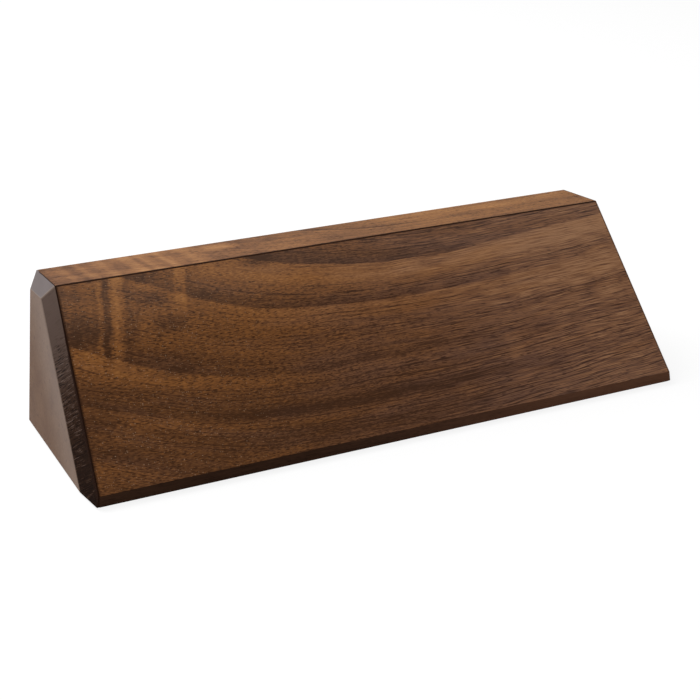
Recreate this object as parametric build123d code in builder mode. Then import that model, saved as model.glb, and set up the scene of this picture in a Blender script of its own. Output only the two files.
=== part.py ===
from build123d import *
import os
from math import cos, radians, sin, tan

# Desk name plate: a hollow walnut wedge built from boards, closed by bevelled end caps.
# Millimetres. +X runs along the plate, -Y is the slanted front and +Z is up.
# The origin is on the desk, under the middle of the footprint.

# Overall form
length = 215.9  # end to end along the base
height = 55.2  # underside of the base to the front arris of the top
face_slope = 48.7  # degrees, front face from the horizontal
top_depth = 21.1  # top rail, front arris to back arris
back_lean = 3.7  # degrees, the back leans forward and the top rail is square to it
end_lean = 4.2  # degrees, each end leans in towards the top

# Boards
face_thickness = 8.0
rail_thickness = 8.0
back_thickness = 8.0
base_thickness = 3.6  # its front edge is the toe strip
end_board_thickness = 9.0

# End caps
bevel_rise = 2.05  # the bevels fall back this far from the end face
cap_rim = 0.4  # edge left on the cap along its bevels
front_bevel_width = 11.3
top_bevel_width = 6.3

# Spline across the front mitre
spline_thickness = 2.0
spline_width = 6.0
spline_cover = 5.2  # outer arris to the middle of the spline, along the mitre
spline_stop = 12.0  # the spline and its grooves stop this far short of the caps

# Tongue on the back board's top edge
tongue_thickness = 2.6
tongue_height = 3.0
tongue_setback = 4.4  # outer back face to the middle of the tongue

# Screws up through the base into the end boards
screw_length = 14.0
screw_shank_radius = 1.5
screw_head_radius = 2.8
screw_head_angle = 90.0  # degrees, whole cone under the head
screw_tip = 3.0
screw_sink = 0.1  # head below the underside
screw_edge = 5.0  # screw axis to the nearest inner face of the front and back
recess_length = 3.0  # cross recess in the head
recess_width = 0.7
recess_depth = 0.9

# Felt pads
pad_radius = 5.0
pad_thickness = 1.6
pad_proud = 0.6  # stands this far below the base
pad_inset = 12.0  # pad axis to the front and back edges of the base
pad_end_inset = 26.0  # pad axis to the ends of the base
pad_edge = 0.3  # eased lower edge

# Fits
glue_gap = 0.05  # each side of a spline or tongue
hole_gap = 0.1  # round a screw or a pad

# Section in the Y-Z plane, front toe first
face_run = (height - base_thickness) / tan(radians(face_slope))
top_run = top_depth * cos(radians(back_lean))
top_fall = top_depth * sin(radians(back_lean))
back_run = (height - top_fall) * tan(radians(back_lean))
depth = face_run + top_run + back_run
front_y = -depth / 2
back_y = depth / 2
base_low = pad_proud
base_high = base_low + base_thickness
face_top = Vector(0, front_y + face_run, base_low + height)
back_top = face_top + Vector(0, top_run, -top_fall)
section = [
    (front_y, base_low),
    (front_y, base_high),
    (face_top.Y, face_top.Z),
    (back_top.Y, back_top.Z),
    (back_y, base_low),
]

# Outer planes, each with its normal pointing out of the plate
face_plane = Plane(face_top, x_dir=(1, 0, 0), z_dir=(0, -sin(radians(face_slope)), cos(radians(face_slope))))
rail_plane = Plane(face_top, x_dir=(1, 0, 0), z_dir=(0, sin(radians(back_lean)), cos(radians(back_lean))))
back_plane = Plane(back_top, x_dir=(1, 0, 0), z_dir=(0, cos(radians(back_lean)), sin(radians(back_lean))))
base_plane = Plane((0, 0, base_high))
end_corner = Vector(-length / 2 + height * tan(radians(end_lean)), face_top.Y, face_top.Z)
left_end = Plane(end_corner, x_dir=(0, 1, 0), z_dir=(-cos(radians(end_lean)), 0, sin(radians(end_lean))))

# Inner faces of the boards, and the seam where the caps are glued on
face_inside = face_plane.offset(-face_thickness)
rail_inside = rail_plane.offset(-rail_thickness)
back_inside = back_plane.offset(-back_thickness)
cap_thickness = bevel_rise + cap_rim
left_seam = left_end.offset(-cap_thickness)
left_bulkhead = left_seam.offset(-end_board_thickness)
right_seam = Plane(
    (-left_seam.origin.X, left_seam.origin.Y, left_seam.origin.Z),
    x_dir=(0, 1, 0),
    z_dir=(cos(radians(end_lean)), 0, sin(radians(end_lean))),
)

# Mitre between the face and the top, seen from the front arris
mitre_normal = (face_plane.z_dir - rail_plane.z_dir).normalized()
mitre_inward = (face_plane.z_dir + rail_plane.z_dir).normalized() * -1
mitre_plane = Plane(face_top, x_dir=(1, 0, 0), z_dir=mitre_normal)


def bevel_plane(side, width):
    # Runs from the rim on one side of the plate to a line that far in on the left end
    normal = left_end.z_dir * width + side.z_dir * bevel_rise
    inset = bevel_rise * width / normal.dot(normal)
    return Plane(end_corner - normal * inset, z_dir=normal)


def wedge_blank():
    # The full section over the whole length, before the ends are cut to their lean
    with BuildSketch(Plane.YZ.offset(-length / 2)) as outline:
        with BuildLine():
            Polyline(*section, close=True)
        make_face()
    extrude(outline.sketch, amount=length)


def trim_to_seams():
    split(bisect_by=left_seam, keep=Keep.BOTTOM)
    split(bisect_by=right_seam, keep=Keep.BOTTOM)


def spline_strip(gap, mode):
    # A bar across the mitre, square to it
    middle = face_top + mitre_inward * spline_cover
    half_length = length / 2 - height * tan(radians(end_lean)) - cap_thickness - spline_stop
    across = Plane(middle - Vector(half_length + gap, 0, 0), x_dir=mitre_normal, z_dir=(1, 0, 0))
    with BuildSketch(across) as bar:
        Rectangle(spline_width + 2 * gap, spline_thickness + 2 * gap)
    extrude(bar.sketch, amount=2 * (half_length + gap), mode=mode)


def back_tongue(gap, mode):
    # A strip that stands up from the back board's top edge into the rail
    foot = back_top - back_plane.z_dir * tongue_setback - rail_plane.z_dir * rail_thickness
    across = Plane(foot - Vector(length / 2, 0, 0), x_dir=back_plane.z_dir, z_dir=(1, 0, 0))
    with BuildSketch(across) as strip:
        Rectangle(tongue_thickness + 2 * gap, tongue_height + gap, align=(Align.CENTER, Align.MIN))
    extrude(strip.sketch, amount=length, mode=mode)


# Front board, mitred at the top, cut level where it stands on the base
with BuildPart() as front_panel:
    wedge_blank()
    split(bisect_by=base_plane, keep=Keep.TOP)
    split(bisect_by=face_inside, keep=Keep.TOP)
    split(bisect_by=mitre_plane, keep=Keep.TOP)
    trim_to_seams()
    spline_strip(glue_gap, Mode.SUBTRACT)

# Top board, mitred at the front, grooved for the back board's tongue
with BuildPart() as top_rail:
    wedge_blank()
    split(bisect_by=rail_inside, keep=Keep.TOP)
    split(bisect_by=mitre_plane, keep=Keep.BOTTOM)
    back_tongue(glue_gap, Mode.SUBTRACT)
    trim_to_seams()
    spline_strip(glue_gap, Mode.SUBTRACT)

# Back board under the top board, with its tongue
with BuildPart() as back_panel:
    wedge_blank()
    split(bisect_by=base_plane, keep=Keep.TOP)
    split(bisect_by=back_inside, keep=Keep.TOP)
    split(bisect_by=rail_inside, keep=Keep.BOTTOM)
    back_tongue(0, Mode.ADD)
    trim_to_seams()

# Loose spline in the mitre
with BuildPart() as mitre_spline:
    spline_strip(0, Mode.ADD)

# Screw axes, halfway through the end boards, clear of the front and back boards
screw_bite = screw_sink + screw_length - base_thickness
bite_middle = base_thickness + screw_bite / 2
screw_end_inset = (cap_thickness + end_board_thickness / 2) / cos(radians(end_lean))
screw_x = length / 2 - screw_end_inset - bite_middle * tan(radians(end_lean))
front_inner_y = front_y + face_thickness / sin(radians(face_slope))
screw_front_y = front_inner_y + screw_bite / tan(radians(face_slope)) + screw_edge
back_inner_y = back_y - back_thickness / cos(radians(back_lean))
screw_back_y = back_inner_y - (base_thickness + screw_bite) * tan(radians(back_lean)) - screw_edge
screw_rows = [screw_front_y, screw_back_y]
screw_columns = [-screw_x, screw_x]
screw_head_slope = tan(radians(screw_head_angle / 2))
screw_head_height = (screw_head_radius - screw_shank_radius) / screw_head_slope

# Pad axes, near the corners of the base
pad_x = length / 2 - pad_end_inset
pad_y = depth / 2 - pad_inset

# Base board between the caps, with pad recesses and countersunk screw holes
with BuildPart() as base_panel:
    wedge_blank()
    split(bisect_by=base_plane, keep=Keep.BOTTOM)
    trim_to_seams()
    with BuildSketch(Plane.XY.offset(base_low)):
        with GridLocations(2 * pad_x, 2 * pad_y, 2, 2):
            Circle(pad_radius + hole_gap)
    extrude(amount=pad_thickness - pad_proud, mode=Mode.SUBTRACT)
    with Locations(*[Plane((x, y, base_low), z_dir=(0, 0, -1)) for x in screw_columns for y in screw_rows]):
        CounterSinkHole(
            radius=screw_shank_radius + hole_gap,
            counter_sink_radius=screw_head_radius + screw_sink * screw_head_slope + hole_gap,
            counter_sink_angle=screw_head_angle,
        )

# Inner end boards, which carry the caps and take the screws
with BuildPart() as left_end_board:
    wedge_blank()
    split(bisect_by=base_plane, keep=Keep.TOP)
    split(bisect_by=face_inside, keep=Keep.BOTTOM)
    split(bisect_by=rail_inside, keep=Keep.BOTTOM)
    split(bisect_by=back_inside, keep=Keep.BOTTOM)
    split(bisect_by=left_seam, keep=Keep.BOTTOM)
    split(bisect_by=left_bulkhead, keep=Keep.TOP)
    with BuildSketch(base_plane):
        with Locations(*[(-screw_x, row_y) for row_y in screw_rows]):
            Circle(screw_shank_radius + hole_gap)
    extrude(amount=screw_bite + hole_gap, mode=Mode.SUBTRACT)

with BuildPart() as right_end_board:
    mirror(left_end_board.part, about=Plane.YZ)

# End caps, full height, bevelled along the front and the top only
with BuildPart() as left_end_cap:
    wedge_blank()
    split(bisect_by=left_end, keep=Keep.BOTTOM)
    split(bisect_by=left_seam, keep=Keep.TOP)
    split(bisect_by=bevel_plane(face_plane, front_bevel_width), keep=Keep.BOTTOM)
    split(bisect_by=bevel_plane(rail_plane, top_bevel_width), keep=Keep.BOTTOM)

with BuildPart() as right_end_cap:
    mirror(left_end_cap.part, about=Plane.YZ)

# One countersunk screw, head down, with a cross recess
with BuildPart() as screw:
    with BuildSketch(Plane.XZ):
        with BuildLine():
            Polyline(
                (0, 0),
                (screw_head_radius, 0),
                (screw_shank_radius, screw_head_height),
                (screw_shank_radius, screw_length - screw_tip),
                (0, screw_length),
                close=True,
            )
        make_face()
    revolve(axis=Axis.Z)
    with BuildSketch(Plane.XY):
        Rectangle(recess_length, recess_width)
        Rectangle(recess_width, recess_length)
    extrude(amount=recess_depth, mode=Mode.SUBTRACT)

with BuildPart() as base_screws:
    with Locations(*[(x, y, base_low + screw_sink) for x in screw_columns for y in screw_rows]):
        add(screw.part)

# Felt discs in the base's recesses
with BuildPart() as felt_pads:
    with BuildSketch(Plane.XY):
        with GridLocations(2 * pad_x, 2 * pad_y, 2, 2):
            Circle(pad_radius)
    extrude(amount=pad_thickness)
    chamfer(felt_pads.edges().group_by(Axis.Z)[0], pad_edge)

pieces = {
    "front_panel": front_panel,
    "top_rail": top_rail,
    "back_panel": back_panel,
    "base_panel": base_panel,
    "left_end_board": left_end_board,
    "right_end_board": right_end_board,
    "left_end_cap": left_end_cap,
    "right_end_cap": right_end_cap,
    "mitre_spline": mitre_spline,
    "base_screws": base_screws,
    "felt_pads": felt_pads,
}

os.makedirs("parts", exist_ok=True)
for node, piece in pieces.items():
    piece.part.label = node
    export_step(piece.part, f"parts/{node}.step")
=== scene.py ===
import math

import bpy
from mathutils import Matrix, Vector


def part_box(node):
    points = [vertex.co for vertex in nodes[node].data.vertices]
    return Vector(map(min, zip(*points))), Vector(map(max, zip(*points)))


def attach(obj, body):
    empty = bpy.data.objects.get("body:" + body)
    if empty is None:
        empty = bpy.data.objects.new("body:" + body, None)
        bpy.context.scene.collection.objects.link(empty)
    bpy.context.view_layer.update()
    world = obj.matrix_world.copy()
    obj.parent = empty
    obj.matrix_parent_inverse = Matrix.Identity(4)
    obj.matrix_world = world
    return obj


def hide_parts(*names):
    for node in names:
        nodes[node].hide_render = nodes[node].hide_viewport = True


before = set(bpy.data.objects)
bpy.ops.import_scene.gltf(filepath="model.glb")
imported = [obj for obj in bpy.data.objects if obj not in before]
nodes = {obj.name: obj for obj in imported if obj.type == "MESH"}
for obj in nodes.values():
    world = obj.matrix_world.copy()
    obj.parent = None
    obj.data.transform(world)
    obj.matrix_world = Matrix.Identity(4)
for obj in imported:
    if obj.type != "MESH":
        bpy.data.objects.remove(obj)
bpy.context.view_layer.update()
millimetre = 0.001
print("frame loaded with", len(nodes), "pieces")

# Where the boards lie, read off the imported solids
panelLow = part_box("front_panel")[0]
railLow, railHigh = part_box("top_rail")
capLow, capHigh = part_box("left_end_cap")
faceFoot = Vector((0, panelLow.y, panelLow.z))  # lower edge of the face, on the base
faceTop = Vector((0, railLow.y, railHigh.z))  # arris between the face and the top
faceSlope = math.atan2(faceTop.z - faceFoot.z, faceTop.y - faceFoot.y)
faceWidth = (faceTop - faceFoot).length / millimetre
backLean = math.radians(3.7)
endLean = math.radians(4.2)


class Wires:
    # Short ways to place and join the nodes of one tree
    def __init__(self, tree):
        self.tree = tree

    def feed(self, socket, value):
        if isinstance(value, bpy.types.NodeSocket):
            self.tree.links.new(value, socket)
        else:
            socket.default_value = value

    def node(self, kind, inputs=None, **settings):
        made = self.tree.nodes.new(kind)
        for name, value in settings.items():
            setattr(made, name, value)
        for key, value in (inputs or {}).items():
            self.feed(made.inputs[key], value)
        return made

    def calc(self, operation, *values, clamp=False):
        made = self.node("ShaderNodeMath", operation=operation, use_clamp=clamp)
        for socket, value in zip(made.inputs, values):
            self.feed(socket, value)
        return made.outputs[0]

    def times(self, first, *others):
        for other in others:
            first = self.calc("MULTIPLY", first, other)
        return first

    def vary(self, base, pattern, strength):
        # Moves a value up and down with a pattern whose middle is a half
        return self.calc("MULTIPLY_ADD", self.calc("SUBTRACT", pattern, 0.5), strength, base)

    def fade(self, value, low, high, start=0.0, end=1.0):
        steps = {"Value": value, "From Min": low, "From Max": high, "To Min": start, "To Max": end}
        return self.node("ShaderNodeMapRange", steps, interpolation_type="SMOOTHSTEP").outputs[0]

    def lerp(self, share, first, second):
        return self.node("ShaderNodeMix", {0: share, 2: first, 3: second}).outputs[0]

    def split(self, vector):
        return self.node("ShaderNodeSeparateXYZ", {0: vector}).outputs

    def join(self, x, y, z):
        return self.node("ShaderNodeCombineXYZ", {0: x, 1: y, 2: z}).outputs[0]

    def stretch(self, vector, x, y, z):
        return self.node("ShaderNodeVectorMath", {0: vector, 1: (x, y, z)}, operation="MULTIPLY").outputs[0]

    def noise(self, vector, seed=0.0, detail=2.0, rough=0.5, bend=0.0):
        steps = {"Vector": vector, "W": seed, "Scale": 1.0}
        steps.update({"Detail": detail, "Roughness": rough, "Distortion": bend})
        return self.node("ShaderNodeTexNoise", steps, noise_dimensions="4D").outputs[0]

    def mix(self, share, first, second, mode="MIX"):
        made = self.node("ShaderNodeMix", data_type="RGBA", blend_type=mode)
        for place, value in ((0, share), (6, first), (7, second)):
            self.feed(made.inputs[place], value)
        return made.outputs[2]

    def ramp(self, value, stops, spread="LINEAR"):
        made = self.node("ShaderNodeValToRGB", {0: value})
        made.color_ramp.interpolation = spread
        points = made.color_ramp.elements
        while len(points) < len(stops):
            points.new(1.0)
        for point, (place, colour) in zip(points, stops):
            point.position = place
            point.color = (*colour, 1.0)
        return made.outputs[0]


def newGroup(name, inputs, outputs):
    kinds = {float: "NodeSocketFloat", tuple: "NodeSocketVector"}
    tree = bpy.data.node_groups.new(name, "ShaderNodeTree")
    for socketName, value in inputs.items():
        socket = tree.interface.new_socket(socketName, in_out="INPUT", socket_type=kinds[type(value)])
        socket.default_value = value
    for socketName in outputs:
        tree.interface.new_socket(socketName, in_out="OUTPUT", socket_type="NodeSocketFloat")
    start = tree.nodes.new("NodeGroupInput").outputs
    end = tree.nodes.new("NodeGroupOutput").inputs
    return tree, Wires(tree), start, end


def makeGrowthRings():
    # Height of the growth ring at each point of a sawn board: level in the middle, swept up at one end
    inputs = {
        "Board": (0.0, 0.0, 0.0),
        "Sweep Start": -64.0,  # where the lower rings start to sweep up, mm along the board
        "Sweep Shift": -77.0,  # and how that place moves for the upper rings
        "Sweep Gain": 1.02,
        "Sweep": 0.53,
        "Sweep Fall": 0.002,  # the upper rings sweep less
        "Ease": 57.0,
        "Lift": 0.00067,
        "Lift Start": 15.5,
        "Sway": 4.0,
        "Tilt": 0.25,  # how far the fibres turn with the rings
        "Feather": 0.35,
        "Seed": 0.0,
    }
    tree, w, start, end = newGroup("growthRings", inputs, ("Level", "Grain Height"))
    along, up, out = w.split(start["Board"])
    sway = w.noise(w.stretch(start["Board"], 0.016, 0.035, 0.035), start["Seed"], detail=3.0)
    swayed = w.vary(up, sway, start["Sway"])
    past = w.calc("MAXIMUM", w.calc("SUBTRACT", along, start["Lift Start"]), 0.0)
    lifted = w.calc("SUBTRACT", swayed, w.times(past, past, start["Lift"]))
    slant = w.calc("MULTIPLY_ADD", along, 0.22, lifted)
    onset = w.calc("MULTIPLY_ADD", slant, start["Sweep Gain"], start["Sweep Shift"])
    onset = w.calc("MAXIMUM", onset, start["Sweep Start"])
    short = w.calc("SMOOTH_MAX", w.calc("SUBTRACT", onset, along), 0.0, start["Ease"])
    sweep = w.calc("SUBTRACT", start["Sweep"], w.calc("MULTIPLY", up, start["Sweep Fall"]))
    level = w.calc("SUBTRACT", lifted, w.calc("MULTIPLY", short, sweep))
    level = w.calc("MULTIPLY_ADD", out, 0.7, level)
    grainHeight = w.lerp(start["Tilt"], swayed, level)
    feather = w.stretch(w.join(along, grainHeight, out), 0.22, 1.6, 1.6)
    feather = w.noise(feather, start["Seed"], detail=2.0, rough=0.6)
    w.feed(end["Level"], w.vary(level, feather, start["Feather"]))
    w.feed(end["Grain Height"], grainHeight)
    return tree


def dashes(w, grain, along, across, seed):
    # Thin marks scattered along the grain, one in each stretched cell, some dark and some faint
    place = {0: w.stretch(grain, along, across, across), 1: w.join(seed, seed, 0.0)}
    place = w.node("ShaderNodeVectorMath", place).outputs[0]
    cells = w.node("ShaderNodeTexVoronoi", {"Vector": place, "Scale": 1.0}).outputs
    strength = w.fade(w.split(cells["Color"])[0], 0.1, 0.9)
    return w.calc("MULTIPLY", w.fade(cells["Distance"], 0.38, 0.16), strength)


def makeWoodGrain():
    # Tone of the wood on its rings: late-wood lines, streaks, threads, fibres and pores, and light dots
    # that are painted glints of lacquer in the pores
    inputs = {
        "Grain": (0.0, 0.0, 0.0),
        "Level": 0.0,
        "Tone": 0.5,
        "Short Grain": 0.0,
        "Patches": 0.3,
        "Lines": 0.3,
        "Streaks": 0.2,
        "Threads": 0.2,
        "Fibres": 0.6,
        "Pores": 0.75,
        "Pore Glints": 0.0,
        "Seed": 0.0,
    }
    tree, w, start, end = newGroup("woodGrain", inputs, ("Tone", "Pore", "Pore Glint", "Height"))
    grain, level, seed, shortGrain = (start[name] for name in ("Grain", "Level", "Seed", "Short Grain"))
    onRing = w.join(w.split(grain)[0], level, 0.0)
    line = w.noise(w.stretch(onRing, 0.008, 0.5, 1.0), seed, detail=3.0, rough=0.7)
    patch = w.noise(w.stretch(grain, 0.035, 0.16, 0.16), seed, detail=2.0)
    streak = w.noise(w.stretch(grain, 0.018, 0.42, 0.42), seed, detail=4.0, rough=0.6)

    # Thin broken lines along the rings
    wander = w.noise(w.stretch(onRing, 0.012, 0.12, 1.0), seed, detail=3.0)
    count = w.calc("MULTIPLY_ADD", wander, 3.0, w.calc("MULTIPLY", level, 0.85))
    fromLine = w.calc("ABSOLUTE", w.calc("SUBTRACT", w.calc("FRACT", count), 0.5))
    number = {"W": w.calc("FLOOR", count)}
    chance = w.node("ShaderNodeTexWhiteNoise", number, noise_dimensions="1D").outputs["Value"]
    broken = w.stretch(grain, 0.05, 0.5, 0.5)
    broken = w.noise(broken, w.calc("ADD", seed, 7.0), detail=2.0, rough=0.7)
    thread = w.times(w.fade(fromLine, 0.17, 0.07), w.fade(chance, 0.1, 0.9), w.fade(broken, 0.36, 0.60))
    thread = w.calc("MULTIPLY", thread, w.fade(start["Tone"], 0.45, 0.9, 1.25, 0.4))

    longFibre = w.noise(w.stretch(grain, 0.09, 4.4, 4.4), seed, detail=1.0)
    shortFibre = w.noise(w.stretch(grain, 0.55, 3.0, 3.0), seed, detail=1.0)
    fibre = w.lerp(shortGrain, longFibre, shortFibre)
    longPore = w.calc("MAXIMUM", dashes(w, grain, 0.09, 2.5, seed), dashes(w, grain, 0.28, 2.9, seed))
    shortPore = w.calc("MAXIMUM", dashes(w, grain, 0.40, 2.7, seed), dashes(w, grain, 0.70, 3.2, seed))
    pore = w.lerp(shortGrain, longPore, shortPore)
    # The pores are darker in the darker rings
    pore = w.calc("MULTIPLY", pore, w.fade(start["Tone"], 0.2, 0.85, 1.4, 0.45))

    tone = start["Tone"]
    for pattern, strength in ((patch, "Patches"), (line, "Lines"), (streak, "Streaks"), (fibre, "Fibres")):
        tone = w.vary(tone, pattern, start[strength])
    for pattern, strength in ((thread, "Threads"), (pore, "Pores")):
        tone = w.calc("SUBTRACT", tone, w.calc("MULTIPLY", pattern, start[strength]))

    # Light dots: painted glints of the lacquer in the pores
    cells = {"Vector": w.stretch(grain, 1.5, 2.0, 2.0), "Scale": 1.0}
    cells = w.node("ShaderNodeTexVoronoi", cells).outputs
    chance, size = w.split(cells["Color"])[:2]
    dot = w.fade(cells["Distance"], w.calc("MULTIPLY_ADD", size, 0.30, 0.16), 0.06)
    w.feed(end["Tone"], tone)
    w.feed(end["Pore"], pore)
    w.feed(end["Pore Glint"], w.times(w.fade(chance, 0.50, 0.95), dot, start["Pore Glints"]))
    w.feed(end["Height"], w.calc("MULTIPLY_ADD", pore, -1.0, w.calc("MULTIPLY", fibre, 0.3)))
    return tree


growthRings = makeGrowthRings()
woodGrain = makeWoodGrain()
print("wood node groups ready")


def newMaterial(name, **fixed):
    material = bpy.data.materials.new(name)
    material.use_nodes = True
    tree = material.node_tree
    shader = tree.nodes["Principled BSDF"]
    for socketName, value in fixed.items():
        shader.inputs[socketName.replace("_", " ")].default_value = value
    return material, Wires(tree), shader


def boardSpace(w, origin=(0, 0, 0), turn=(0, 0, 0)):
    # Millimetres along the board, across it and out of its face
    place = w.node("ShaderNodeTexCoord").outputs["Object"]
    steps = {"Vector": place, "Location": origin, "Rotation": turn, "Scale": (millimetre,) * 3}
    return w.node("ShaderNodeMapping", steps, vector_type="TEXTURE").outputs[0]


walnutTones = [
    (0.0, (0.072, 0.031, 0.016)),
    (0.25, (0.145, 0.066, 0.037)),
    (0.45, (0.225, 0.100, 0.048)),
    (0.65, (0.330, 0.145, 0.060)),
    (1.0, (0.520, 0.250, 0.105)),
]
relief = {"strength": 0.25, "distance": 0.06 * millimetre, "poreRoughness": 0.2}


def spreadTone(w, value, places, shape="LINEAR"):
    # Tone by place, from a list of places in mm and tones from nought to one
    first, last = places[0][0], places[-1][0]
    share = w.calc("DIVIDE", w.calc("SUBTRACT", value, first), last - first)
    stops = [((mm - first) / (last - first), (tone, tone, tone)) for mm, tone in places]
    return w.ramp(share, stops, shape)


def woodFigure(w, board, ringValues, grainValues):
    # Rings and grain of one board, with the group values given by name
    rings = w.node("ShaderNodeGroup", node_tree=growthRings)
    wood = w.node("ShaderNodeGroup", node_tree=woodGrain)
    for group, values in ((rings, ringValues), (wood, grainValues)):
        for name, value in values.items():
            w.feed(group.inputs[name], value)
    place = w.split(board)
    w.feed(rings.inputs["Board"], board)
    w.feed(wood.inputs["Grain"], w.join(place["X"], rings.outputs["Grain Height"], place["Z"]))
    w.feed(wood.inputs["Level"], rings.outputs["Level"])
    return rings.outputs["Level"], wood


def addClouds(w, tone, along, up, clouds):
    # Soft dark or light patches: middle along and up, half length and half height, depth
    for cloudAlong, cloudUp, length, height, depth in clouds:
        sideways = w.calc("DIVIDE", w.calc("SUBTRACT", along, cloudAlong), length)
        upward = w.calc("DIVIDE", w.calc("SUBTRACT", up, cloudUp), height)
        reach = w.node("ShaderNodeVectorMath", {0: w.join(sideways, upward, 0.0)}, operation="LENGTH")
        tone = w.calc("SUBTRACT", tone, w.fade(reach.outputs["Value"], 1.0, 0.1, 0.0, depth))
    return tone


def coverWood(w, shader, wood, colour, roughness, poreRoughness=relief["poreRoughness"]):
    # Colour, roughness in the pores and a shallow relief of the grain
    w.feed(shader.inputs["Base Color"], colour)
    pore, height = wood.outputs["Pore"], wood.outputs["Height"]
    w.feed(shader.inputs["Roughness"], w.calc("MULTIPLY_ADD", pore, poreRoughness, roughness))
    steps = {"Strength": relief["strength"], "Distance": relief["distance"], "Height": height}
    w.feed(shader.inputs["Normal"], w.node("ShaderNodeBump", steps).outputs[0])


# Lengths in mm from the middle of the plate, heights in mm up the slope
face = {
    "origin": faceFoot,
    "turn": (faceSlope, 0, 0),
    # tone of the rings by height, at the left, the middle and the right of the plate
    "left": [
        (-16, 0.39), (-10, 0.42), (-5.8, 0.18), (-3, 0.33), (0.5, 0.40), (4.4, 0.30), (7.6, 0.49),
        (9.8, 0.47), (11.2, 0.25), (14, 0.32), (20, 0.42), (22.4, 0.62), (25.6, 0.60), (25.9, 0.19),
        (27, 0.26), (30, 0.33), (33.4, 0.44), (36, 0.54), (37.6, 0.48), (40.4, 0.55), (43, 0.50),
        (45.8, 0.72), (46.2, 0.34), (48.6, 0.38), (50.4, 0.56), (52, 0.78), (60, 0.64), (70, 0.56),
    ],
    "middle": [
        (-12, 0.35), (0, 0.35), (3, 0.24), (6.8, 0.28), (9.6, 0.42), (11.2, 0.36), (12.6, 0.06),
        (13.8, 0.05), (15.2, 0.22), (17, 0.40), (20.8, 0.34), (22.4, 0.42), (25.2, 0.45), (25.9, 0.22),
        (27.2, 0.27), (28.4, 0.44), (29.2, 0.36), (33, 0.48), (36.5, 0.43), (40.6, 0.58), (45.2, 0.67),
        (45.6, 0.24), (48.6, 0.46), (51.6, 0.60), (54, 0.80), (58.2, 0.70), (58.5, 0.17), (60.4, 0.31),
        (64.4, 0.51), (66, 0.45), (70, 0.48),
    ],
    "right": [
        (-12, 0.54), (0, 0.54), (4, 0.58), (8.4, 0.56), (11, 0.44), (12.4, 0.52), (15.2, 0.62), (21, 0.60),
        (23.6, 0.46), (25.2, 0.54), (27.6, 0.68), (32, 0.65), (34.4, 0.50), (36.2, 0.72), (39, 0.86),
        (42, 0.85), (44.6, 0.72), (47.2, 0.58), (50.2, 0.68), (53, 0.87), (55.6, 0.97), (58.8, 0.94),
        (59.6, 0.48), (62.8, 0.63), (65.6, 0.59), (68, 0.47),
    ],
    "toMiddle": (-90.0, -38.0),  # where one list gives way to the next
    "toRight": (10.0, 92.0),
    # grain strengths: from here, to there, with the values at both
    "grain": {
        "Short Grain": (60.0, -70.0, 0.0, 1.0),
        "Pore Glints": (-10.0, -75.0, 0.0, 0.85),
        "Patches": (0.0, -70.0, 0.06, 0.45),
        "Lines": (0.0, -70.0, 0.08, 0.3),
        "Streaks": (0.0, -70.0, 0.04, 0.2),
        "Threads": (-80.0, 60.0, 0.28, 0.65),
        "Fibres": (-70.0, 30.0, 1.1, 1.9),
        "Pores": (-30.0, 60.0, 1.25, 0.65),
    },
    "endFibres": (55.0, 90.0, 0.0, 0.5),  # more of them near the right end
    "curlGlints": [  # light and dark ripples across the grain: curly figure, with its glints painted in as colour
        (-112, 0.50), (-99, 0.52), (-96, 0.62), (-92.8, 0.54), (-91.4, 0.68), (-90.8, 0.60), (-90, 0.34),
        (-89, 0.36), (-87.8, 0.66), (-86, 0.74), (-84.4, 0.64), (-82.6, 0.43), (-80, 0.48), (-77, 0.55),
        (-70, 0.50), (-67, 0.52), (-66, 0.68), (-63.2, 0.70), (-62.2, 0.46), (-59, 0.52), (-54, 0.54),
        (-50, 0.50),
    ],
    "curlMiddle": 52.0,
    "curlLean": -0.22,
    "curlWobble": 3.0,
    "curlDepth": 1.2,
    "curlFoot": (-82.0, -70.0, 33.0, 50.0),  # the ripples reach lower at the left
    "curlRise": 11.0,
    "curlRings": (24.5, 26.5, 0.4, 1.0),  # weaker below these rings
    "flutter": (-45.0, -75.0, 0.0, 0.45),
    "clouds": [
        (-98, 53, 12, 8, 0.26), (-100, 23, 12, 9, 0.14), (-73, 59.3, 8, 4, 0.36), (-71, 34.2, 10, 3, 0.22),
        (-74, 67, 8, 3, 0.20), (-55, 57.5, 8, 3, 0.24), (-34, 66.5, 9, 3.5, 0.30),
        (-68.5, 49.6, 9, 4.6, 0.26),
    ],
    "tints": 1.3,
    "coolSpan": (-65.0, 85.0),  # warm at the left, cool at the right
    "warm": (1.0, 0.88, 0.60, 1.0),
    "cool": (1.0, 1.07, 1.29, 1.0),
    # grey of a painted sheen, a reflection added to the wood colour
    "paintedSheen": (0.041, 0.034, 0.030, 1.0),
    "paintedTopSheen": ((42.0, 66.0), (10.0, -80.0, 0.6, 1.0)),  # painted sheen near the top, by height and length
    "paintedLowSheen": ((16.0, 2.0), (10.0, 80.0, 0.0, 0.25)),  # and at the lower right
    "poreGlint": (0.54, 0.34, 0.21, 1.0),
    "seamDark": (0.032, 0.011, 0.004, 1.0),
    "seamDarkWidth": 0.42,
    "margin": (0.9, 0.0, 0.0, 0.8),  # dark margin along the left seam
    "roughness": 0.42,
}


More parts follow.
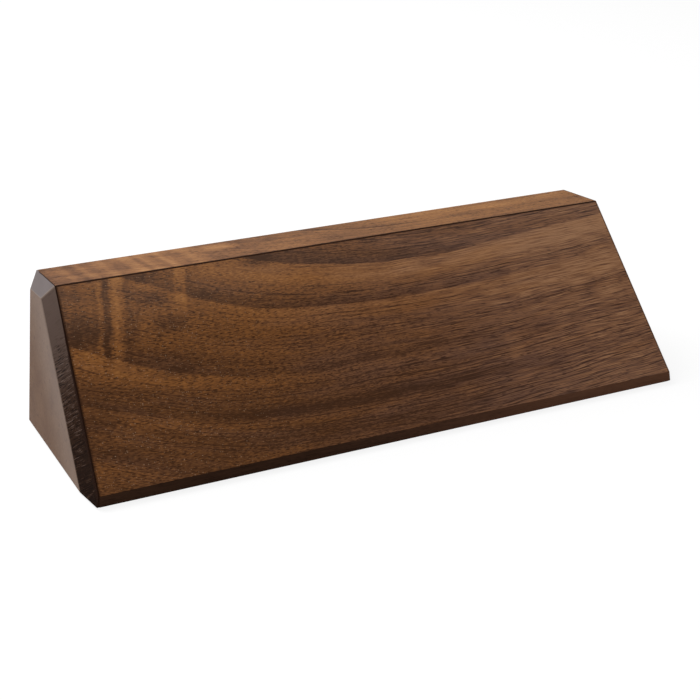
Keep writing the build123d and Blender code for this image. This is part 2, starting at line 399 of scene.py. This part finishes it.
def faceTone(w, along, up, level):
    # Rings, with the ripples and clouds that cross them
    middle = spreadTone(w, level, face["middle"])
    tone = w.lerp(w.fade(along, *face["toMiddle"]), spreadTone(w, level, face["left"]), middle)
    tone = w.lerp(w.fade(along, *face["toRight"]), tone, spreadTone(w, level, face["right"]))
    leaned = w.calc("MULTIPLY_ADD", w.calc("SUBTRACT", up, face["curlMiddle"]), face["curlLean"], along)
    wobble = w.noise(w.stretch(w.join(along, up, 0.0), 0.03, 0.13, 1.0), 9.0, detail=2.0)
    leaned = w.vary(leaned, wobble, face["curlWobble"])
    # Curly figure, with the glints of its ripples painted into the tone
    ripple = w.calc("SUBTRACT", spreadTone(w, leaned, face["curlGlints"], "EASE"), 0.5)
    flutter = w.noise(w.stretch(w.join(leaned, up, 0.0), 0.4, 0.05, 1.0), 5.0, detail=2.0)
    ripple = w.vary(ripple, flutter, w.fade(along, *face["flutter"]))
    lowest = w.fade(along, *face["curlFoot"])
    curled = w.fade(up, lowest, w.calc("ADD", lowest, face["curlRise"]), 0.0, face["curlDepth"])
    curled = w.calc("MULTIPLY", curled, w.fade(level, *face["curlRings"]))
    tone = w.calc("MULTIPLY_ADD", ripple, curled, tone)
    return addClouds(w, tone, along, up, face["clouds"])


def walnutFace():
    material, w, shader = newMaterial("walnutFace", Specular_IOR_Level=0.06)
    board = boardSpace(w, face["origin"], face["turn"])
    along, up = w.split(board)[:2]
    grainValues = {name: w.fade(along, *span) for name, span in face["grain"].items()}
    grainValues["Fibres"] = w.calc("ADD", grainValues["Fibres"], w.fade(along, *face["endFibres"]))
    level, wood = woodFigure(w, board, {}, grainValues)
    w.feed(wood.inputs["Tone"], faceTone(w, along, up, level))
    colour = w.ramp(wood.outputs["Tone"], walnutTones)

    tint = w.noise(w.stretch(w.join(along, level, 0.0), 0.03, 0.2, 1.0), 13.0, detail=2.0)
    tint = w.vary(w.fade(along, *face["coolSpan"]), tint, face["tints"])
    colour = w.mix(1.0, colour, w.mix(tint, face["warm"], face["cool"]), "MULTIPLY")
    # Painted sheen: a grey reflection added to the colour near the top and at the lower right
    paintedSheens = []
    for heights, lengths in (face["paintedTopSheen"], face["paintedLowSheen"]):
        paintedSheens.append(w.calc("MULTIPLY", w.fade(up, *heights), w.fade(along, *lengths)))
    colour = w.mix(w.calc("MAXIMUM", *paintedSheens), colour, face["paintedSheen"], "ADD")
    # Painted glints in the pores, in a light colour
    colour = w.mix(wood.outputs["Pore Glint"], colour, face["poreGlint"])

    # Dark line along the mitre, a dark joint with painted shade in its crease, and a soft darker margin
    # along the left seam
    seamDarkStart = faceWidth - face["seamDarkWidth"]
    colour = w.mix(w.fade(up, seamDarkStart - 0.1, seamDarkStart), colour, face["seamDark"])
    place = w.split(boardSpace(w))
    height = w.calc("SUBTRACT", place["Z"], cap["foot"])
    leftEdge = w.calc("MULTIPLY_ADD", height, math.tan(endLean), cap["rise"] + cap["rim"])
    inset = w.calc("ADD", place["X"], w.calc("SUBTRACT", cap["halfLength"], leftEdge))
    colour = w.mix(w.fade(inset, *face["margin"]), colour, face["seamDark"])
    coverWood(w, shader, wood, colour, face["roughness"])
    return material


rail = {
    "origin": faceTop,
    "turn": (-backLean, 0, 0),
    "rings": {
        "Sweep Start": 12.0, "Sweep Gain": 0.0, "Sweep": 0.55, "Sweep Fall": 0.0, "Ease": 24.0, "Lift": 0.0,
        "Sway": 3.0, "Seed": 3.0,
    },
    "grain": {
        "Short Grain": 0.5, "Pores": 0.75, "Patches": 0.6, "Streaks": 0.5, "Threads": 0.4, "Fibres": 1.2,
        "Seed": 3.0,
    },
    "tones": [
        (-70, 0.52), (-48, 0.60), (-40, 0.50), (-30, 0.58), (-22, 0.50), (-12, 0.56), (-4, 0.52), (4, 0.61),
        (8.4, 0.61), (8.8, 0.17), (9.4, 0.19), (9.8, 0.50), (13, 0.60), (18, 0.67), (30, 0.65),
    ],
    "rightTones": [
        (-10, 0.58), (4, 0.60), (8, 0.54), (9.6, 0.50), (12, 0.58), (18, 0.64), (30, 0.64),
    ],
    "toRight": (24.0, 42.0),
    "clouds": [
        (-42, 15, 11, 6, -0.32), (-82, 15, 10, 6, -0.22), (-39, 5, 12, 6, -0.12), (-22, 16, 6, 4, 0.10),
        (-60, 5, 8, 5, -0.08), (0, 15, 10, 4, -0.10), (0, 5, 10, 5, 0.08), (70, 15, 22, 5, -0.12),
    ],
    "specks": 0.40,
    "speckSpan": (-62.0, -46.0, 0.35, 1.0),  # fewer near the left end
    "curlGlints": [  # light ripples across the grain, closest near the left end: curly figure, with its glints painted in as colour
        (-108, 0.40), (-101, 0.40), (-97, 0.46), (-94, 0.60), (-91, 0.42), (-88, 0.64), (-85, 0.46),
        (-81, 0.62), (-77.5, 0.48), (-75.5, 0.52), (-72.5, 0.74), (-70.8, 0.74), (-69, 0.54), (-67, 0.74),
        (-65.2, 0.66), (-63, 0.54), (-61, 0.76), (-58.5, 0.60), (-56, 0.54), (-52, 0.70), (-49.5, 0.62),
        (-46, 0.50), (-33, 0.50), (-27, 0.56), (-18, 0.52), (0, 0.47), (15, 0.48), (40, 0.56), (60, 0.53),
        (80, 0.54), (105, 0.52),
    ],
    "curlLean": 0.08,
    "curlDepth": 1.1,
    # two open-pored spots: both ends along the rail, then their edge across it
    "knots": [((-52.0, -44.0), (-26.0, -36.0), (8.0, 4.0)), ((-37.0, -31.0), (-15.0, -24.0), (10.0, 14.0))],
    "knotTone": -0.05,
    "knotPores": 0.5,
    "warmSpan": (-90.0, 60.0),
    "cool": (1.0, 1.06, 1.12, 1.0),
    "warm": (1.0, 1.03, 0.94, 1.0),
    "seamDarkWidth": 0.42,
    "roughness": 0.55,
}


def walnutRail():
    material, w, shader = newMaterial("walnutRail", Specular_IOR_Level=0.03)
    board = boardSpace(w, rail["origin"], rail["turn"])
    along, up = w.split(board)[:2]
    level, wood = woodFigure(w, board, rail["rings"], rail["grain"])
    # Curly figure, with its glints painted into the tone
    leaned = w.calc("MULTIPLY_ADD", up, rail["curlLean"], along)
    ripple = spreadTone(w, leaned, rail["curlGlints"], "EASE")
    rightTone = spreadTone(w, level, rail["rightTones"])
    tone = w.lerp(w.fade(along, *rail["toRight"]), spreadTone(w, level, rail["tones"]), rightTone)
    tone = w.vary(tone, ripple, rail["curlDepth"])
    tone = addClouds(w, tone, along, up, rail["clouds"])
    speck = dashes(w, board, 0.45, 1.3, 5.0)
    speck = w.times(speck, w.fade(along, *rail["speckSpan"]), rail["specks"])
    tone = w.calc("SUBTRACT", tone, speck)
    knots = []
    for start, end, side in rail["knots"]:
        knots.append(w.times(w.fade(along, *start), w.fade(along, *end), w.fade(up, *side)))
    knot = w.calc("MAXIMUM", *knots)
    pores = w.calc("MULTIPLY_ADD", knot, rail["knotPores"], rail["grain"]["Pores"])
    w.feed(wood.inputs["Pores"], pores)
    w.feed(wood.inputs["Tone"], w.calc("MULTIPLY_ADD", knot, rail["knotTone"], tone))
    colour = w.ramp(wood.outputs["Tone"], walnutTones)
    drift = w.mix(w.fade(along, *rail["warmSpan"]), rail["cool"], rail["warm"])
    colour = w.mix(1.0, colour, drift, "MULTIPLY")
    # Dark line along the mitre: a dark joint with painted shade in its crease
    seamDark = w.fade(up, rail["seamDarkWidth"] + 0.1, rail["seamDarkWidth"])
    coverWood(w, shader, wood, w.mix(seamDark, colour, face["seamDark"]), rail["roughness"])
    return material


straight = {"Sweep": 0.0, "Sweep Fall": 0.0, "Lift": 0.0, "Sway": 5.0}
driftSpan = (-60.0, 140.0)


def straightWood(name, values):
    # A board with plain straight grain
    material, w, shader = newMaterial(name, Specular_IOR_Level=values["gloss"])
    board = boardSpace(w, turn=values["turn"])
    seed = {"Seed": values["seed"]}
    level, wood = woodFigure(w, board, {**straight, **seed}, {**seed, **values["grain"]})
    band = w.stretch(w.join(level, 0.0, 0.0), 0.09, 1.0, 1.0)
    band = w.noise(band, values["seed"], detail=3.0, rough=0.55)
    tone = w.fade(band, 0.3, 0.7, values["darkest"], values["lightest"])
    drift = w.fade(w.split(board)[0], *driftSpan, 0.0, values["drift"])
    w.feed(wood.inputs["Tone"], w.calc("ADD", tone, drift))
    colour = w.ramp(wood.outputs["Tone"], values["colours"])
    coverWood(w, shader, wood, colour, values["roughness"], values["poreRoughness"])
    return material


back = {
    "turn": (math.pi / 2, 0, 0),
    "seed": 7.0,
    "grain": {},
    "darkest": 0.22,
    "lightest": 0.62,
    "colours": walnutTones,
    "drift": 0.0,  # lighter towards the right end by this much
    "gloss": 0.12,
    "roughness": 0.46,
    "poreRoughness": 0.15,
}
base = {
    "turn": (0, 0, 0),
    "seed": 11.0,
    "grain": {"Lines": 0.15, "Pores": 0.3, "Fibres": 0.3, "Threads": 0.05},
    "darkest": 0.36,
    "lightest": 0.54,
    "colours": [(0.0, (0.016, 0.007, 0.004)), (0.45, (0.040, 0.018, 0.010)), (1.0, (0.138, 0.061, 0.034))],
    "drift": 0.64,
    "gloss": 0.03,
    "roughness": 0.6,
    "poreRoughness": 0.15,
}
poplar = {
    "turn": (0, math.pi / 2, 0),
    "seed": 17.0,
    "grain": {"Pores": 0.05, "Threads": 0.08},
    "darkest": 0.4,
    "lightest": 0.7,
    "colours": [(0.0, (0.30, 0.26, 0.15)), (0.5, (0.52, 0.45, 0.28)), (1.0, (0.66, 0.58, 0.40))],
    "drift": 0.0,
    "gloss": 0.2,
    "roughness": 0.65,
    "poreRoughness": 0.15,
}
beech = {
    "turn": (0, 0, 0),
    "seed": 23.0,
    "grain": {"Pores": 0.2, "Threads": 0.05},
    "darkest": 0.4,
    "lightest": 0.65,
    "colours": [(0.0, (0.36, 0.20, 0.11)), (0.5, (0.58, 0.38, 0.23)), (1.0, (0.70, 0.50, 0.33))],
    "drift": 0.0,
    "gloss": 0.2,
    "roughness": 0.6,
    "poreRoughness": 0.15,
}

cap = {
    "halfLength": -capLow.x / millimetre,
    "foot": capLow.z / millimetre,
    "backFoot": capHigh.y / millimetre,
    "rise": 2.05,  # how far the bevels fall back from the end plane
    "rim": 0.4,  # and what is left of the cap beyond them
    "frontWidth": 11.3,
    "topWidth": 6.3,
    "end": [(0.0, (0.128, 0.062, 0.036)), (0.5, (0.176, 0.094, 0.052)), (1.0, (0.222, 0.128, 0.078))],
    # the top bevel's grey is a painted reflection
    "top": [(0.0, (0.115, 0.084, 0.080)), (1.0, (0.172, 0.131, 0.126))],
    "front": [(0.0, (0.012, 0.005, 0.003)), (0.45, (0.050, 0.024, 0.014)), (1.0, (0.154, 0.101, 0.081))],
    "frontShadeByHeight": [(0, 0.04), (14, 0.13), (30, 0.36), (42, 0.57), (52, 0.67), (70, 0.73)],  # by height, darker towards the foot: painted shade near the ground
    "endShade": (0.0, 50.0, 0.46, 0.52),  # by height: painted shade, a little darker towards the foot
    "mottle": 1.5,
    "speckle": 1.0,
    "pits": (0.67, 0.73, 0.0, 0.8),
    "cutDepth": -0.9,
    "crest": (46.0, 34.0, 0.3, 0.85),  # strengths of the saw marks by height up the slope
    "torn": (42.0, 26.0, 0.0, 0.45),
    "sawn": (56.0, 42.0, 0.08, 1.0),
    # the saw marks fainter low down, inside the painted shade
    "marksInShadeByHeight": (4.0, 36.0, 0.55, 1.0),
    # worn arrises with a painted highlight, lighter higher up
    "edgeWearAndHighlightRise": (0.0, 45.0, 0.15, 0.6),
    "reveal": (66.0, 26.0, 0.03, 0.26),  # the dark seam, with its painted shadow, is wider lower down
    "rightReveal": 0.05,
    # colour of worn arrises with a painted highlight on them
    "arris": (0.26, 0.19, 0.15, 1.0),
    # dark joint colour, with the painted shadow in the gap
    "seam": (0.024, 0.010, 0.006, 1.0),
    "backEdge": (0.170, 0.075, 0.048, 1.0),
    "rimColour": (0.200, 0.100, 0.058, 1.0),
    "satin": ((3.2, 1.0, 0.12, 0.52), (0.0, 30.0, 0.8, 1.0)),  # by distance from the face, by height
    "topSatin": 0.55,
    "frontSatin": (25.0, 66.0, 0.0, 0.2),
    "roughness": 0.5,
    "sawnRoughness": 0.35,  # added on the front bevel
    "relief": 0.25 * millimetre,
}


def sawMarks(w, slope, worked):
    # Cuts, crests and torn fibres across the front bevel, stronger lower down and patchy
    along, up, out = w.split(slope)
    skewed = w.calc("MULTIPLY_ADD", out, 0.12, up)
    sawn = w.stretch(w.join(along, skewed, out), 0.1, 3.0, 0.22)
    sawn = w.noise(sawn, 41.0, detail=2.0, rough=0.6, bend=0.4)
    crest = w.calc("MULTIPLY", w.fade(sawn, 0.56, 0.68), w.fade(up, *cap["crest"]))
    marks = w.calc("MULTIPLY_ADD", w.fade(sawn, 0.46, 0.36), cap["cutDepth"], crest)
    torn = w.fade(w.noise(w.stretch(slope, 0.3, 0.9, 2.4), 43.0, detail=1.0), 0.58, 0.70)
    marks = w.calc("MULTIPLY_ADD", torn, w.fade(up, *cap["torn"]), marks)
    return w.times(marks, w.fade(up, *cap["sawn"]), w.fade(worked, 0.36, 0.56, 0.35, 1.2))


def walnutEnd():
    # Both end caps: a satin end plane, a smooth top bevel and a rough sawn front bevel
    fixed = {"Specular_IOR_Level": 0.03, "Coat_Roughness": 0.42, "Coat_IOR": 1.45}
    material, w, shader = newMaterial("walnutEnd", **fixed)
    place = boardSpace(w)
    x, y, z = w.split(place)
    slope = boardSpace(w, face["origin"], face["turn"])
    up, out = w.split(slope)[1:]
    railOut = w.split(boardSpace(w, rail["origin"], rail["turn"]))[2]
    height = w.calc("SUBTRACT", z, cap["foot"])
    reach = w.calc("SUBTRACT", cap["halfLength"], w.calc("MULTIPLY", height, math.tan(endLean)))
    depth = w.calc("MULTIPLY", w.calc("SUBTRACT", reach, w.calc("ABSOLUTE", x)), math.cos(endLean))

    # Which of the three planes a point lies on, from its share of each bevel's width
    fromFace = w.calc("MULTIPLY", out, -1.0 / cap["frontWidth"])
    fromRail = w.calc("MULTIPLY", railOut, -1.0 / cap["topWidth"])
    nearer = w.calc("SUBTRACT", fromFace, fromRail)
    bevelled = w.fade(depth, 0.02, 0.07)
    withinFront = w.fade(fromFace, 1.04, 1.0)
    onTop = w.times(w.fade(nearer, -0.02, 0.02), bevelled, w.fade(fromRail, 1.04, 1.0))
    onFront = w.calc("MULTIPLY", w.calc("SUBTRACT", bevelled, onTop), withinFront)

    mottle = w.noise(w.stretch(place, 0.09, 0.09, 0.09), 31.0, detail=3.0, rough=0.55)
    speckle = w.noise(w.stretch(place, 1.3, 1.3, 1.3), 31.0, detail=2.0, rough=0.6)
    pits = w.noise(w.stretch(place, 0.5, 0.5, 0.5), 37.0, detail=1.0)
    endTone = w.vary(w.fade(height, *cap["endShade"]), mottle, cap["mottle"])
    endTone = w.vary(endTone, speckle, cap["speckle"])
    endTone = w.calc("SUBTRACT", endTone, w.fade(pits, *cap["pits"]))
    # Top bevel: grey from a painted reflection
    topTone = w.calc("MULTIPLY_ADD", speckle, 0.6, w.calc("SUBTRACT", mottle, 0.3))
    colour = w.mix(onTop, w.ramp(endTone, cap["end"]), w.ramp(topTone, cap["top"]))

    worked = w.noise(w.stretch(place, 0.18, 0.18, 0.18), 47.0, detail=2.0)
    marks = sawMarks(w, slope, worked)
    # Front bevel tone, darker towards the foot as painted shade near the ground, with the saw marks on it
    frontTone = spreadTone(w, up, cap["frontShadeByHeight"], "EASE")
    frontTone = w.calc("MULTIPLY_ADD", marks, w.fade(up, *cap["marksInShadeByHeight"]), frontTone)
    colour = w.mix(onFront, colour, w.ramp(frontTone, cap["front"]))

    # Worn arrises with a painted highlight, stronger higher up; the dark seam beside the face, a dark joint
    # with painted shadow in the gap; and the warm edge at the back
    edge = w.calc("MULTIPLY", w.fade(depth, 0.01, 0.05), w.fade(depth, 0.16, 0.08))
    between = w.times(w.fade(w.calc("ABSOLUTE", nearer), 0.07, 0.03), bevelled, withinFront)
    worn = w.calc("MULTIPLY", w.calc("MAXIMUM", edge, between), w.fade(height, *cap["edgeWearAndHighlightRise"]))
    colour = w.mix(worn, colour, cap["arris"])
    rightEnd = w.fade(x, -20.0, 20.0)
    # Dark seam beside the face: a dark joint with painted shadow in the gap
    reveal = w.calc("MULTIPLY", w.fade(up, *cap["reveal"]), w.fade(worked, 0.35, 0.6, 0.7, 1.2))
    reveal = w.lerp(rightEnd, reveal, cap["rightReveal"])
    bared = w.calc("ADD", w.calc("SUBTRACT", depth, cap["rise"]), reveal)
    seam = w.calc("MULTIPLY", w.fade(bared, 0.0, 0.06), w.fade(fromFace, 1.4, 1.2))
    colour = w.mix(seam, colour, w.mix(rightEnd, cap["seam"], cap["rimColour"]))
    backPlane = w.calc("MULTIPLY_ADD", height, -math.tan(backLean), cap["backFoot"])
    behind = w.fade(w.calc("SUBTRACT", backPlane, y), 1.0, 0.4)
    behind = w.calc("MULTIPLY", behind, w.fade(fromRail, 0.9, 1.1))
    w.feed(shader.inputs["Base Color"], w.mix(behind, colour, cap["backEdge"]))

    nearFace, nearFoot = cap["satin"]
    satin = w.calc("MULTIPLY", w.fade(fromFace, *nearFace), w.fade(height, *nearFoot))
    satin = w.calc("MULTIPLY", satin, w.calc("SUBTRACT", 1.0, behind))
    satin = w.lerp(onTop, satin, cap["topSatin"])
    satin = w.lerp(onFront, satin, w.fade(up, *cap["frontSatin"]))
    satin = w.calc("MULTIPLY", satin, w.calc("SUBTRACT", 1.0, seam), clamp=True)
    w.feed(shader.inputs["Coat Weight"], satin)
    rough = w.calc("MULTIPLY_ADD", onFront, cap["sawnRoughness"], cap["roughness"])
    w.feed(shader.inputs["Roughness"], rough)
    steps = {"Strength": 0.6, "Distance": cap["relief"], "Height": w.calc("MULTIPLY", marks, onFront)}
    w.feed(shader.inputs["Normal"], w.node("ShaderNodeBump", steps).outputs[0])
    return material


steel = {"colour": (0.56, 0.57, 0.58, 1.0), "worn": (0.40, 0.40, 0.41, 1.0)}


def screwSteel():
    material, w, shader = newMaterial("screwSteel", Metallic=1.0)
    smudge = w.noise(w.stretch(boardSpace(w), 0.6, 0.6, 0.6), 51.0, detail=4.0, rough=0.6)
    w.feed(shader.inputs["Base Color"], w.mix(w.fade(smudge, 0.4, 0.65), steel["colour"], steel["worn"]))
    w.feed(shader.inputs["Roughness"], w.fade(smudge, 0.3, 0.7, 0.28, 0.5))
    return material


felt = {"colours": [(0.3, (0.010, 0.009, 0.008)), (0.7, (0.05, 0.046, 0.042))], "relief": 0.2 * millimetre}


def feltCloth():
    material, w, shader = newMaterial("feltCloth", Roughness=0.95, Specular_IOR_Level=0.1, Sheen_Weight=0.4)
    fuzz = w.noise(w.stretch(boardSpace(w), 3.0, 3.0, 3.0), 61.0, detail=4.0, rough=0.7, bend=1.5)
    w.feed(shader.inputs["Base Color"], w.ramp(fuzz, felt["colours"]))
    bump = w.node("ShaderNodeBump", {"Strength": 0.8, "Distance": felt["relief"], "Height": fuzz})
    w.feed(shader.inputs["Normal"], bump.outputs[0])
    return material


finishes = {
    "front_panel": walnutFace(),
    "top_rail": walnutRail(),
    "back_panel": straightWood("walnutBack", back),
    "base_panel": straightWood("darkBase", base),
    "left_end_board": straightWood("poplarBoard", poplar),
    "left_end_cap": walnutEnd(),
    "mitre_spline": straightWood("beechSpline", beech),
    "base_screws": screwSteel(),
    "felt_pads": feltCloth(),
}
finishes["right_end_board"] = finishes["left_end_board"]
finishes["right_end_cap"] = finishes["left_end_cap"]
for name, finish in finishes.items():
    nodes[name].data.materials.clear()
    nodes[name].data.materials.append(finish)
print("finishes set")

pads = {"Radius": 5.0, "Edge": 0.45, "Fuzz": 0.05, "Seed": 4.0}  # mm


def makePadTree():
    # One soft round pad with a rolled lower edge, set out on a grid of two by two
    tree = bpy.data.node_groups.new("padGrid", "GeometryNodeTree")
    tree.is_modifier = True
    for name in ("Radius", "Thickness", "Span Along", "Span Across", "Edge", "Fuzz", "Seed"):
        tree.interface.new_socket(name, in_out="INPUT", socket_type="NodeSocketFloat")
    tree.interface.new_socket("Cloth", in_out="INPUT", socket_type="NodeSocketMaterial")
    tree.interface.new_socket("Geometry", in_out="OUTPUT", socket_type="NodeSocketGeometry")
    w = Wires(tree)
    start = tree.nodes.new("NodeGroupInput").outputs
    end = tree.nodes.new("NodeGroupOutput").inputs
    steps = {"Radius": start["Radius"], "Depth": start["Thickness"]}
    steps.update({"Vertices": 72, "Side Segments": 10, "Fill Segments": 14})
    pad = w.node("GeometryNodeMeshCylinder", steps).outputs["Mesh"]
    x, y, z = w.split(w.node("GeometryNodeInputPosition").outputs[0])
    height = w.calc("ADD", z, w.calc("MULTIPLY", start["Thickness"], 0.5))
    short = w.calc("SUBTRACT", 1.0, w.calc("DIVIDE", height, start["Edge"]), clamp=True)
    bulge = w.calc("SQRT", w.calc("SUBTRACT", 1.0, w.calc("MULTIPLY", short, short)))
    edgeShare = w.calc("DIVIDE", start["Edge"], start["Radius"])
    inward = w.calc("SUBTRACT", 1.0, w.calc("MULTIPLY", w.calc("SUBTRACT", 1.0, bulge), edgeShare))
    rolled = w.join(w.calc("MULTIPLY", x, inward), w.calc("MULTIPLY", y, inward), height)
    pad = w.node("GeometryNodeSetPosition", {"Geometry": pad, "Position": rolled}).outputs[0]
    steps = {"Size X": start["Span Along"], "Size Y": start["Span Across"]}
    steps.update({"Vertices X": 2, "Vertices Y": 2})
    grid = w.node("GeometryNodeMeshGrid", steps).outputs["Mesh"]
    spots = w.node("GeometryNodeInstanceOnPoints", {"Points": grid, "Instance": pad}).outputs[0]
    whole = w.node("GeometryNodeRealizeInstances", {"Geometry": spots}).outputs[0]
    place = w.node("GeometryNodeInputPosition").outputs[0]
    tuft = w.noise(w.stretch(place, 1.4, 1.4, 1.4), start["Seed"], detail=3.0, rough=0.6)
    depth = w.calc("MULTIPLY", w.fade(tuft, 0.35, 0.65), start["Fuzz"])
    lower = w.calc("LESS_THAN", w.split(place)[2], w.calc("MULTIPLY", start["Thickness"], 0.3))
    lift = w.join(0.0, 0.0, w.calc("MULTIPLY", depth, lower))
    whole = w.node("GeometryNodeSetPosition", {"Geometry": whole, "Offset": lift}).outputs[0]
    whole = w.node("GeometryNodeTransform", {"Geometry": whole, "Scale": (millimetre,) * 3}).outputs[0]
    whole = w.node("GeometryNodeSetMaterial", {"Geometry": whole, "Material": start["Cloth"]}).outputs[0]
    w.feed(end["Geometry"], whole)
    return tree


def setOutPads():
    low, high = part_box("felt_pads")
    values = {
        **pads,
        "Thickness": (high.z - low.z) / millimetre,
        "Span Along": (high.x - low.x) / millimetre - 2 * pads["Radius"],
        "Span Across": (high.y - low.y) / millimetre - 2 * pads["Radius"],
        "Cloth": finishes["felt_pads"],
    }
    piece = bpy.data.objects.new("softPads", bpy.data.meshes.new("softPads"))
    bpy.context.scene.collection.objects.link(piece)
    maker = piece.modifiers.new("padGrid", "NODES")
    maker.node_group = makePadTree()
    for socket in maker.node_group.interface.items_tree:
        if socket.in_out == "INPUT":
            maker[socket.identifier] = values[socket.name]
    shaped = piece.evaluated_get(bpy.context.evaluated_depsgraph_get())
    mesh = bpy.data.meshes.new_from_object(shaped)
    piece.modifiers.remove(maker)
    piece.data = mesh
    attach(piece, "root")
    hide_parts("felt_pads")
    return piece


softPads = setOutPads()
print("pads set out with", len(softPads.data.polygons), "faces")

easing = {"width": 0.2 * millimetre, "steps": 2, "sharpest": math.radians(4)}


def easeEdges(piece):
    weld = piece.modifiers.new("weld", "WELD")
    weld.merge_threshold = 0.001 * millimetre
    flat = piece.modifiers.new("flat", "DECIMATE")
    flat.decimate_type = "DISSOLVE"
    flat.angle_limit = math.radians(0.5)
    bevel = piece.modifiers.new("eased", "BEVEL")
    bevel.width = easing["width"]
    bevel.segments = easing["steps"]
    bevel.limit_method = "ANGLE"
    bevel.angle_limit = easing["sharpest"]
    piece.modifiers.new("shading", "WEIGHTED_NORMAL")


for name in ("front_panel", "top_rail", "back_panel", "base_panel", "left_end_cap", "right_end_cap"):
    easeEdges(nodes[name])
print("edges eased")

studio = {
    "world": 0.25,
    "keyPlace": (-0.35, 0.62, 0.95),
    "keySize": 0.8,
    "keyPower": 11.0,
    "fillPlace": (-0.6, -0.9, 0.6),
    "fillSize": 0.8,
    "fillPower": 1.5,
    "floorSize": 6.0,
    "floorColour": (0.8, 0.8, 0.8, 1),  # as the object sees it
    "floorShade": (0.2, 0.2, 0.2, 1),  # as the camera sees it, with the glow on top
    "floorGlow": 0.86,
}


def softBox(name, place, size, power):
    light = bpy.data.lights.new(name, "AREA")
    light.size = size
    light.energy = power
    lamp = bpy.data.objects.new(name, light)
    lamp.location = place
    lamp.rotation_euler = (-Vector(place)).to_track_quat("-Z", "Y").to_euler()
    bpy.context.scene.collection.objects.link(lamp)


def seenRay(w):
    rays = w.node("ShaderNodeLightPath").outputs
    either = w.calc("MAXIMUM", rays["Is Camera Ray"], rays["Is Glossy Ray"])
    return w.calc("MAXIMUM", either, rays["Is Transmission Ray"])


softBox("keyLight", studio["keyPlace"], studio["keySize"], studio["keyPower"])
softBox("fillLight", studio["fillPlace"], studio["fillSize"], studio["fillPower"])
world = bpy.data.worlds.new("studio")
world.use_nodes = True
bpy.context.scene.world = world
w = Wires(world.node_tree)
background = world.node_tree.nodes["Background"]
background.inputs["Color"].default_value = (1, 1, 1, 1)
w.feed(background.inputs["Strength"], w.calc("MAXIMUM", seenRay(w), studio["world"]))

bpy.ops.mesh.primitive_plane_add(size=studio["floorSize"])
floor = bpy.context.object
floor.name = "floor"
paper = bpy.data.materials.new("palePaper")
paper.use_nodes = True
w = Wires(paper.node_tree)
paper.node_tree.nodes.remove(paper.node_tree.nodes["Principled BSDF"])
matt = w.node("ShaderNodeBsdfDiffuse", {"Color": studio["floorColour"]}).outputs[0]
shade = w.node("ShaderNodeBsdfDiffuse", {"Color": studio["floorShade"]}).outputs[0]
glow = w.node("ShaderNodeEmission", {"Strength": studio["floorGlow"]}).outputs[0]
white = w.node("ShaderNodeAddShader", {0: shade, 1: glow}).outputs[0]
seen = w.node("ShaderNodeMixShader", {0: seenRay(w), 1: matt, 2: white}).outputs[0]
w.feed(paper.node_tree.nodes["Material Output"].inputs["Surface"], seen)
floor.data.materials.append(paper)

view = {"place": (-0.2135, -0.4202, 0.2157), "pitch": 22.64, "turn": -26.46, "lens": 76.56}
lens = bpy.data.cameras.new("photoCamera")
lens.lens = view["lens"]
lens.sensor_width = 36.0
lens.clip_start = 0.01
camera = bpy.data.objects.new("photoCamera", lens)
camera.location = view["place"]
camera.rotation_euler = (math.radians(90 - view["pitch"]), 0, math.radians(view["turn"]))
bpy.context.scene.collection.objects.link(camera)
bpy.context.scene.camera = camera
bpy.context.scene.view_settings.view_transform = "Standard"
print("studio ready")
